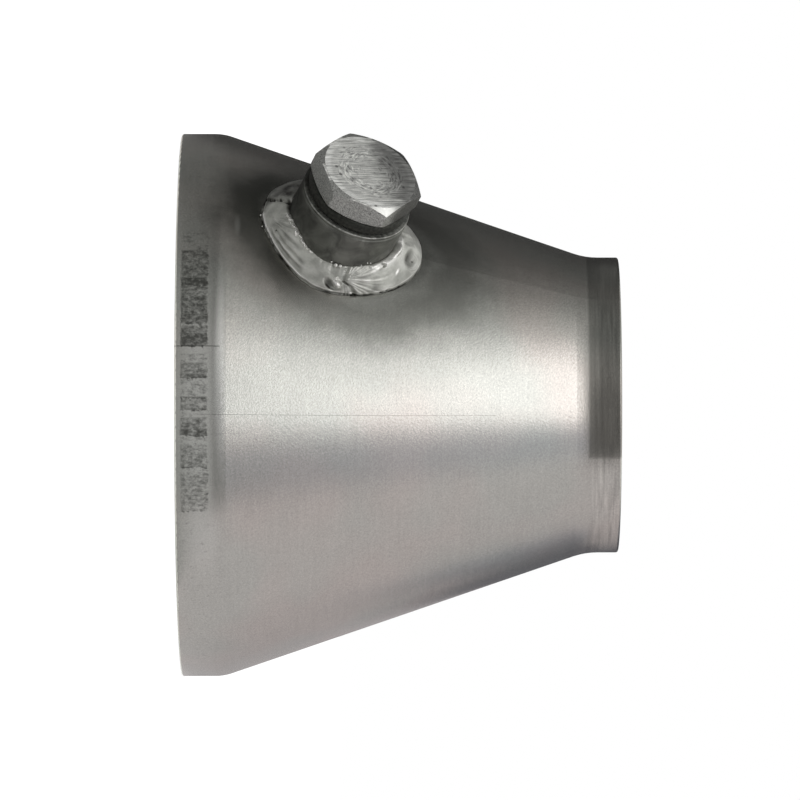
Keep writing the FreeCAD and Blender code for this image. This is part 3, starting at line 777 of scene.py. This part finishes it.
class BeadSection:
    """One section of the bead, in the half plane at a turn round the boss axis."""

    def __init__(self, turn, boss_radius):
        settings = bpy.context.scene.reducer_weld
        self.turn = turn
        toe_radius = boss_radius + round_boss(turn, *TOE) * MM
        self.toe = Vector((toe_radius, wall_height(toe_radius, turn)))
        self.top = Vector((boss_radius - SINK, round_boss(turn, *TOP) * MM))
        chord = self.toe - self.top
        self.length = chord.length / MM
        self.outward = Vector((-chord.y, chord.x)).normalized()
        self.ripple = settings.ripple / MM
        self.lumps = [lump for lump in LUMPS + FUSED if abs(difference(turn, lump[0])) < LUMP_SPAN]
        self.ridges = []
        degrees = difference(turn, 0)
        for height, width, stain, points in RIDGES:
            for place in (degrees, degrees + 360):
                middle = follow(points, place)
                if middle is not None:
                    first, last = points[0][0], points[-1][0]
                    fade = smooth_step(place, first, first + RIDGE_RISE)
                    fade *= 1 - smooth_step(place, last - RIDGE_FALL, last)
                    self.ridges.append((middle, height * fade, width, stain * fade))

    def run(self, turn):
        """Length along the bead from a turn to this section, in millimetres."""
        return math.radians(difference(self.turn, turn)) * self.toe.x * MIDDLE_REACH / MM

    def relief(self, share):
        """Height of the bead's detail over its plain face, and the stain there, with its painted highlight
        and shade.
        """
        height = self.grain(share)
        # Painted light: the grain's crests are lighter and its troughs darker.
        stain = GRAIN_STAIN * height
        for crest, middle, along, across, lean, size, tint in self.lumps:
            run, step = self.run(crest), (share - middle) * self.length
            cosine, sine = math.cos(math.radians(lean)), math.sin(math.radians(lean))
            span = math.hypot((run * cosine + step * sine) / along, (step * cosine - run * sine) / across)
            height += size * hump(span, 1)
            stain += tint * hump(span, 1)
        for middle, size, width, tint in self.ridges:
            bell = math.exp(-((share - middle) * self.length / width) ** 2)
            height += size * bell
            stain += tint * bell
        for number, (size, width, tint, points) in enumerate(SEAMS):
            crest = follow(points, share)
            if crest is None:
                continue
            wander = 0.25 * noise.noise(Vector((share * 14, number, 0)))
            bell = math.exp(-((self.run(crest) + wander) / width) ** 2)
            height += size * bell
            stain += tint * bell * (0.7 + 0.9 * noise.noise(Vector((share * 22, number, 5))))
        height += PASS_STEP * self.second_pass(share)
        # Painted shade on one side of the bead.
        middle, outer, inner, tint = FLUX_SIDE
        stain += tint * smooth_step(abs(difference(self.turn, middle)), outer, inner)
        depth, *shares = TOE_STEP
        height -= depth * smooth_step(share, *shares)
        strength, middle, width = TOE_LINE
        stain -= strength * math.exp(-((share - middle) * self.length / width) ** 2)
        # Painted shade in the crease along the toe.
        stain += (0.75 + 0.5 * ring_noise(self.turn, 0, 7)) * smooth_step(share, *TOE_BURN)
        return height, max(-1.0, min(1.0, stain))

    def second_pass(self, share):
        """How far a place lies on the second pass: it starts on one seam and ends on the other."""
        if abs(difference(self.turn, 220)) < 90:
            return 1.0
        start_seam, end_seam = SEAMS[0][3], SEAMS[1][3]
        start = self.run(follow(start_seam, max(share, start_seam[0][0])))
        before_end = 1 - smooth_step(self.run(follow(end_seam, share)), -PASS_EDGE, 0)
        if difference(self.turn, 100) <= -40:
            return before_end
        ended = before_end if abs(difference(self.turn, -15)) < 40 else 1
        return smooth_step(start, 0, PASS_EDGE) * ended

    def grain(self, share):
        """Flow lines that froze in fans, and the wandering of the whole face."""
        total = 0.0
        for crest, middle, count, reach in FANS:
            run, step = self.run(crest), (middle - share) * self.length
            distance = math.hypot(run, step)
            if run > 0 and distance < reach:
                turn = math.atan2(step, run)
                wander = noise.noise(Vector((run * 0.2, step * 0.2, crest)))
                fade = smooth_step(distance, 0.5, 3) * (1 - smooth_step(distance, reach * 0.5, reach))
                line = Vector((count / 6 * turn + wander, distance * 0.12, crest))
                total += self.ripple * noise.noise(line) * fade
        spot = round_axis(12, self.turn, share * 8)
        ring = math.hypot(self.run(CRATER[0]), (share - CRATER[1]) * self.length)
        middle, spacing, height = RINGS
        if 1.5 < ring < 3.4 and share > 0.55:
            total += height * math.sin(ring * 2 * math.pi / spacing) * hump(ring - middle, 1)
        return total + 0.12 * noise.noise(spot * 0.5) + 0.03 * noise.noise(spot * 2.2)

    def point(self, share):
        """Point on the bead's face, as reach and height, and the stain and painted light there."""
        height, stain = self.relief(share)
        fullness = BULGE * (1 - abs(2 * share - 1) ** SQUARENESS)
        ends = smooth_step(share, 0, 0.03) * (1 - smooth_step(share, 0.975, 1))
        lift = self.outward * (fullness + height * ends) * MM
        return self.top + (self.toe - self.top) * share + lift, stain


def fused_balls():
    """Small balls of filler fused in a row between the boss and the first pass."""
    chance = random.Random(5)
    balls = []
    for turn in range(6, 56, 2):
        size = chance.uniform(0.34, 0.85)
        balls.append((turn + chance.uniform(-1, 1), chance.uniform(0.03, 0.12), size, size * 0.8, 0,
                      size * 0.9, chance.uniform(-1.5, -0.8)))
    return balls


FUSED = fused_balls()


def make_weld_bead(material):
    """Fillet bead: a grid wrapped round the boss and round the bead's own section."""
    settings = bpy.context.scene.reducer_weld
    boss_radius = along_boss_axis("sensor_boss")[2]
    sections = [BeadSection(column * 2 * math.pi / settings.columns, boss_radius)
                for column in range(settings.columns)]
    maker = bmesh.new()
    bmesh.ops.create_grid(maker, x_segments=settings.columns, y_segments=settings.rows, size=0.5,
                          matrix=Matrix.Translation((0.5, 0.5, 0)))
    stain_layer = maker.verts.layers.float.new("stain")
    for vertex in maker.verts:
        section = sections[round(vertex.co.x * settings.columns) % settings.columns]
        along = vertex.co.y % 1
        if along <= FACE_SHARE:
            spot, vertex[stain_layer] = section.point(1 - along / FACE_SHARE)
        else:
            under = (along - FACE_SHARE) / (1 - FACE_SHARE)
            root = Vector((section.top.x, section.toe.y - 2 * SINK))
            below = section.toe - Vector((0, 2 * SINK))
            spot = section.top.lerp(root, under * 2) if under < 0.5 else root.lerp(below, under * 2 - 1)
        vertex.co = BOSS_FRAME @ round_axis(spot.x, section.turn, spot.y)
    bmesh.ops.remove_doubles(maker, verts=maker.verts, dist=0.001 * MM)
    finish_piece(maker, "weld_bead_laid", material, "weld_bead", math.radians(60))


# Balls of filler on the boss and beside the bead: turn, reach, height and radius. All are this bright.
SPATTER_STAIN = -0.8
SPATTER = [(84, 13.0, 3.75, 0.44), (88.5, 12.95, 3.85, 0.40), (79, 12.7, 3.95, 0.22),
           (-3, 17.8, -0.35, 0.22), (8, 17.5, -0.4, 0.17), (116, 12.6, 5.4, 0.16),
           (120, 12.6, 5.2, 0.16), (110, 12.6, 4.8, 0.14)]


def make_spatter(material):
    """Balls of filler that froze where they fell."""
    maker = bmesh.new()
    for turn, reach, height, radius in SPATTER:
        place = round_axis(reach, math.radians(turn), height) * MM
        bmesh.ops.create_icosphere(maker, subdivisions=3, radius=radius * MM,
                                   matrix=Matrix.Translation(BOSS_FRAME @ place))
    stain_layer = maker.verts.layers.float.new("stain")
    for vertex in maker.verts:
        vertex[stain_layer] = SPATTER_STAIN
    finish_piece(maker, "weld_spatter", material)


# Reach of the thread's crest and root from its axis, how far in from the boss's mouth it starts, and
# how many steps make a turn of it.
THREAD_CREST, THREAD_ROOT = 8.2 * MM, 9.02 * MM
THREAD_LEAD = 0.8 * MM
THREAD_STEPS = 64


def make_boss_thread(material):
    """Ridge of the boss's thread, from its inner mouth up to the end of the plug."""
    settings = bpy.context.scene.reducer_boss
    low = along_boss_axis("sensor_boss")[0]
    high = along_boss_axis("screw_plug")[0]
    maker = bmesh.new()
    start = low + THREAD_LEAD
    share = settings.pitch / 8
    corners = [(THREAD_ROOT, 0), (THREAD_ROOT, 7 * share), (THREAD_CREST, 4.5 * share),
               (THREAD_CREST, 2.5 * share)]
    ring = [maker.verts.new((reach, 0, start + rise)) for reach, rise in corners]
    edges = [maker.edges.new((ring[place], ring[(place + 1) % 4])) for place in range(4)]
    turns = (high - start) / settings.pitch - 1
    steps = round(turns * THREAD_STEPS)
    bmesh.ops.spin(maker, geom=ring + edges, cent=(0, 0, 0), axis=(0, 0, 1), angle=2 * math.pi * turns,
                   steps=steps, dvec=(0, 0, settings.pitch * turns / steps))
    bmesh.ops.holes_fill(maker, edges=[edge for edge in maker.edges if edge.is_boundary], sides=4)
    bmesh.ops.transform(maker, matrix=BOSS_FRAME, verts=maker.verts)
    finish_piece(maker, "boss_thread", material)


# The dressed head lies a hair under the plain one's top. Columns round one side of the hexagon. Rings
# of the plug, counted from the top, whose edges are broken, and the two that the corners run between.
HAIR = 0.01 * MM
SIDE_COLUMNS = 24
BROKEN_RINGS = (1, 2, 3, 4)
CORNER_RINGS = {2, 3}


def make_plug():
    """Hexagon head with chamfered and broken edges, on its shank, as rings drawn out one from another."""
    settings = bpy.context.scene.reducer_plug
    end, top, corner = along_boss_axis("screw_plug")
    top -= HAIR
    seat = along_boss_axis("seal_ring")[1]
    points = [TO_BOSS @ vertex.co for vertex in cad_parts["screw_plug"].data.vertices]
    furthest = max(points, key=lambda point: point.xy.length)
    first_corner = math.atan2(furthest.y, furthest.x)
    shank = max(point.xy.length for point in points if point.z < seat - MM)
    tip = max(point.xy.length for point in points if point.z < end + 0.1 * MM)
    face = max(point.xy.length for point in points if point.z > top - 0.01 * MM)
    apothem = corner * math.cos(math.pi / 6)
    columns = 6 * SIDE_COLUMNS
    slope = math.tan(math.radians(30))
    hexagon = [apothem / math.cos((place * 2 * math.pi / columns) % (math.pi / 3) - math.pi / 6)
               for place in range(columns)]
    rings = [
        ([face * 0.5] * columns, [top] * columns),
        ([face] * columns, [top] * columns),
        (hexagon, [top - (reach - face) * slope for reach in hexagon]),
        (hexagon, [seat + (reach - face) * slope for reach in hexagon]),
        ([face] * columns, [seat] * columns),
        ([shank] * columns, [seat] * columns),
        ([shank] * columns, [end + shank - tip] * columns),
        ([tip] * columns, [end] * columns),
    ]
    maker = bmesh.new()
    bmesh.ops.create_circle(maker, segments=columns, radius=1, cap_ends=True)
    loop, edges = maker.verts[:], maker.edges[:]
    spots = {}
    for number, (reaches, heights) in enumerate(rings):
        if number:
            drawn = bmesh.ops.extrude_edge_only(maker, edges=edges)["geom"]
            edges = [item for item in drawn if isinstance(item, bmesh.types.BMEdge)
                     and all(vertex in drawn for vertex in item.verts) and len(item.link_faces) == 1]
            loop = {vertex for edge in edges for vertex in edge.verts}
        for vertex in loop:
            place = round(math.atan2(vertex.co.y, vertex.co.x) * columns / (2 * math.pi)) % columns
            turn = first_corner + place * 2 * math.pi / columns
            spot = round_axis(reaches[place], turn, heights[place])
            spots[vertex] = (spot, number, place % SIDE_COLUMNS == 0)
            vertex.co.z = -number
    bmesh.ops.contextual_create(maker, geom=edges)
    for vertex, (spot, number, at_corner) in spots.items():
        vertex.co = spot
    sharp = []
    for edge in maker.edges:
        (number, at_corner), other = [spots[vertex][1:] for vertex in edge.verts]
        on_ring = number == other[0] and number in BROKEN_RINGS
        if on_ring or at_corner and {number, other[0]} == CORNER_RINGS:
            sharp.append(edge)
    bmesh.ops.bevel(maker, geom=sharp, offset=settings.edge, offset_type="OFFSET", segments=2, profile=0.5,
                    affect="EDGES", material=-1, clamp_overlap=True)
    bmesh.ops.transform(maker, matrix=BOSS_FRAME, verts=maker.verts)
    finish_piece(maker, "screw_plug_dressed", make_plug_steel(), "screw_plug",
                 math.radians(40))


def seen_or_mirrored(add):
    """1 for what the camera sees, straight or in metal or through glass, and 0 for what only lights."""
    rays = add("LightPath")
    seen = rays.outputs["Is Camera Ray"]
    for kind in ("Is Glossy Ray", "Is Transmission Ray"):
        seen = add("Math", [seen, rays.outputs[kind]], operation="MAXIMUM")
    return seen


def make_floor(settings):
    """Plain pale floor. It shows white to the eye and to metal, and still takes the object's shadow."""
    material, add = new_material("pale_paper_floor")
    lift = add("Math", [seen_or_mirrored(add), settings.floor_lift], operation="MULTIPLY")
    paper = add("BsdfDiffuse", {"Color": settings.floor_colour})
    glow = add("Emission", {"Color": (1, 1, 1), "Strength": lift})
    both = add("AddShader", [paper, glow])
    add("OutputMaterial", {"Surface": both})
    maker = bmesh.new()
    bmesh.ops.create_circle(maker, segments=96, radius=settings.floor_radius, cap_ends=True)
    add_mesh(maker, "floor", material)


# Reflection cards: name, distance, low and high edge, whether a skirt runs in from the low edge to the
# object's foot, tint, and brightness by the turn in degrees from the camera towards the boss.
FOOT = 62.1 * MM
WHITE, PALE_TINT, COOL_TINT = (1, 1, 1), (1.055, 1, 1.03), (0.98, 1, 1.13)
CARDS = [
    ("dark_card_side", 0.55, 0.1 * MM, 0.48, True, WHITE,
     [(30, 0.80), (45, 0.72), (56, 0.62), (66, 0.44), (77, 0.31), (87, 0.24), (97, 0.17), (106, 0.13),
      (125, 0.095), (144, 0.06), (165, 0.045), (172, 0.045)]),
    ("grey_card_low", 0.45, 0.2 * MM, 0.05, True, WHITE, [(-42, 0.42), (20, 0.42), (60, 0.26)]),
    ("dark_card_middle", 0.45, 0.05, 0.12, False, WHITE, [(-42, 0.16), (20, 0.19), (60, 0.18)]),
    ("dark_card_front", 0.45, 0.12, 0.27, False, WHITE,
     [(-42, 0.26), (5, 0.28), (22, 0.58), (45, 0.50), (60, 0.22)]),
    ("dark_card_low", 0.45, 0.2 * MM, 0.13, True, WHITE, [(60, 0.20), (80, 0.20), (135, 0.18)]),
    ("pale_card", 0.60, 0.1 * MM, 0.62, True, PALE_TINT,
     [(-172, 0.46), (-130, 0.55), (-95, 0.66), (-18, 0.69)]),
    ("cool_card", 0.58, 0.25, 0.62, False, COOL_TINT, [(-42, 0.60), (-36, 0.52), (-16, 0.58)]),
    ("dim_card", 0.30, 0.135, 0.42, False, COOL_TINT,
     [(-172, 0.10), (-150, 0.12), (-134, 0.17), (-125, 0.23), (-110, 0.45)]),
    ("dim_card_middle", 0.30, 0.105, 0.135, False, COOL_TINT, [(-172, 0.10), (-134, 0.17)]),
    ("dim_card_low", 0.30, 0.088, 0.105, False, COOL_TINT, [(-172, 0.11), (-146, 0.17)]),
]


def make_card(name, reach, low, high, skirted, tint, stops):
    """Curved card beside the object, out of the picture, that only metal sees."""
    start, end = stops[0][0], stops[-1][0]
    material, add = new_material(name)
    turn = turn_and_height(add, add("TexCoord").outputs["Object"])[0]
    ahead = bpy.context.scene.reducer_stage.camera_turn - math.pi / 2
    aside = add("Math", [ahead, turn], operation="SUBTRACT")
    aside = add("Math", [aside, math.pi, -math.pi], operation="WRAP")
    share = add("MapRange", [aside, math.radians(start), math.radians(end)])
    shares = [((degrees - start) / (end - start), level) for degrees, level in stops]
    level = set_ramp(add("ValToRGB", [share]), shares)
    glow = add("Emission", {"Color": tint, "Strength": level})
    add("OutputMaterial", {"Surface": glow})
    maker = bmesh.new()
    first = camera_side(start)
    corners = [first * reach + Vector((0, 0, height)) for height in (low, high)]
    if skirted:
        corners.insert(0, first * FOOT + Vector((0, 0, low)))
    points = [maker.verts.new(corner) for corner in corners]
    edges = [maker.edges.new(pair) for pair in zip(points, points[1:])]
    bmesh.ops.spin(maker, geom=points + edges, cent=(0, 0, 0), axis=(0, 0, -1),
                   angle=math.radians(end - start), steps=48)
    card = add_mesh(maker, name, material)
    card.visible_camera = card.visible_diffuse = card.visible_shadow = False


def camera_side(degrees):
    """Level direction from the pipe's axis, as a turn from the camera towards the boss."""
    turn = bpy.context.scene.reducer_stage.camera_turn - math.radians(degrees)
    return Vector((math.sin(turn), -math.cos(turn), 0))


# The softbox: its turn from the camera and its rise in degrees, its distance from what it aims at, its
# width and height, its aim and its tint.
SOFTBOX = (18, 46, 1.1, 0.95, 0.42)
SOFTBOX_AIM = Vector((0, 0, 0.05))
SOFTBOX_TINT = (0.99, 0.96, 1)


def make_softbox(settings):
    """Softbox above the lens: the long bright glint on the cone."""
    turn, rise, distance, width, height = SOFTBOX
    side = camera_side(turn)
    direction = side * math.cos(math.radians(rise)) + Vector((0, 0, math.sin(math.radians(rise))))
    lamp = bpy.data.lights.new("softbox", "AREA")
    lamp.shape = "RECTANGLE"
    lamp.color = SOFTBOX_TINT
    lamp.size, lamp.size_y = width, height
    lamp.energy = settings.key_strength * math.pi * width * height
    box = add_object("softbox", lamp)
    box.location = SOFTBOX_AIM + direction * distance
    box.rotation_euler = direction.to_track_quat("Z", "Y").to_euler()


def make_world(settings):
    """White all round to the eye and to metal, and an even ambient light on all else."""
    world = bpy.data.worlds.new("studio")
    world.use_nodes = True
    world.node_tree.nodes.clear()
    add = partial(add_node, world.node_tree)
    strength = add("MapRange", [seen_or_mirrored(add), 0, 1, settings.ambient, 1.0])
    light = add("Background", {"Color": (1, 1, 1), "Strength": strength})
    add("OutputWorld", {"Surface": light})
    bpy.context.scene.world = world


def make_camera(settings):
    """Long lens level with the pipe's middle, on its side so that the pipe lies across the picture."""
    back = camera_side(0)
    up = camera_side(90)
    lens = bpy.data.cameras.new("camera")
    lens.lens = settings.focal_length
    lens.sensor_width = 36
    camera = add_object("camera", lens)
    turn = Matrix((Vector((0, 0, 1)), up, back)).transposed().to_4x4()
    place = back * settings.camera_distance + up * settings.camera_side_step
    camera.matrix_world = Matrix.Translation(place + Vector((0, 0, settings.camera_rise))) @ turn
    bpy.context.scene.camera = camera


class REDUCER_OT_sheet(bpy.types.Operator):
    """Finish the formed sheet of the reducer"""

    bl_idname = "reducer.sheet"
    bl_label = "Finish the sheet"

    def execute(self, context):
        dress_node("reducer_body", make_sheet_steel())
        return {"FINISHED"}


class REDUCER_OT_boss(bpy.types.Operator):
    """Finish the sensor boss and cut its thread"""

    bl_idname = "reducer.boss"
    bl_label = "Finish the boss"

    def execute(self, context):
        steel = make_turned_steel()
        dress_node("sensor_boss", steel)
        make_boss_thread(steel)
        return {"FINISHED"}


class REDUCER_OT_weld(bpy.types.Operator):
    """Lay the weld bead and its spatter"""

    bl_idname = "reducer.weld"
    bl_label = "Lay the weld bead"

    def execute(self, context):
        metal = make_weld_metal()
        make_weld_bead(metal)
        make_spatter(metal)
        return {"FINISHED"}


class REDUCER_OT_plug(bpy.types.Operator):
    """Make the screw plug and finish its seal ring"""

    bl_idname = "reducer.plug"
    bl_label = "Make the plug"

    def execute(self, context):
        make_plug()
        dress_node("seal_ring", make_ring_metal())
        return {"FINISHED"}


class REDUCER_OT_stage(bpy.types.Operator):
    """Set up the floor, the lamps, the cards and the camera"""

    bl_idname = "reducer.stage"
    bl_label = "Set the stage"

    def execute(self, context):
        settings = context.scene.reducer_stage
        context.scene.view_settings.view_transform = "Standard"
        make_world(settings)
        make_floor(settings)
        make_softbox(settings)
        for card in CARDS:
            make_card(*card)
        make_camera(settings)
        return {"FINISHED"}


class REDUCER_PT_panel(bpy.types.Panel):
    """The reducer's settings and steps"""

    bl_label = "Exhaust Pipe Reducer"
    bl_space_type = "VIEW_3D"
    bl_region_type = "UI"
    bl_category = "Reducer"

    def draw(self, context):
        for operator, group, kind in STEPS:
            box = self.layout.box()
            box.operator(operator.bl_idname)
            for name in kind.__annotations__:
                box.prop(getattr(context.scene, group), name)


# Each step's operator, and the name and kind of its settings.
STEPS = [
    (REDUCER_OT_sheet, "reducer_sheet", SheetSettings),
    (REDUCER_OT_boss, "reducer_boss", BossSettings),
    (REDUCER_OT_weld, "reducer_weld", WeldSettings),
    (REDUCER_OT_plug, "reducer_plug", PlugSettings),
    (REDUCER_OT_stage, "reducer_stage", StageSettings),
]
CLASSES = [*(kind for operator, group, kind in STEPS), *(operator for operator, group, kind in STEPS),
           REDUCER_PT_panel]


def register():
    """Add the settings, the operators and the panel."""
    for item in CLASSES:
        bpy.utils.register_class(item)
    for operator, group, kind in STEPS:
        setattr(bpy.types.Scene, group, PointerProperty(type=kind))


def unregister():
    """Take out what register added."""
    for operator, group, kind in STEPS:
        delattr(bpy.types.Scene, group)
    for item in reversed(CLASSES):
        bpy.utils.unregister_class(item)


def main():
    """Make the whole reducer and its stage."""
    register()
    bpy.ops.reducer.sheet()
    bpy.ops.reducer.boss()
    bpy.ops.reducer.weld()
    bpy.ops.reducer.plug()
    bpy.ops.reducer.stage()


if __name__ == "__main__":
    main()
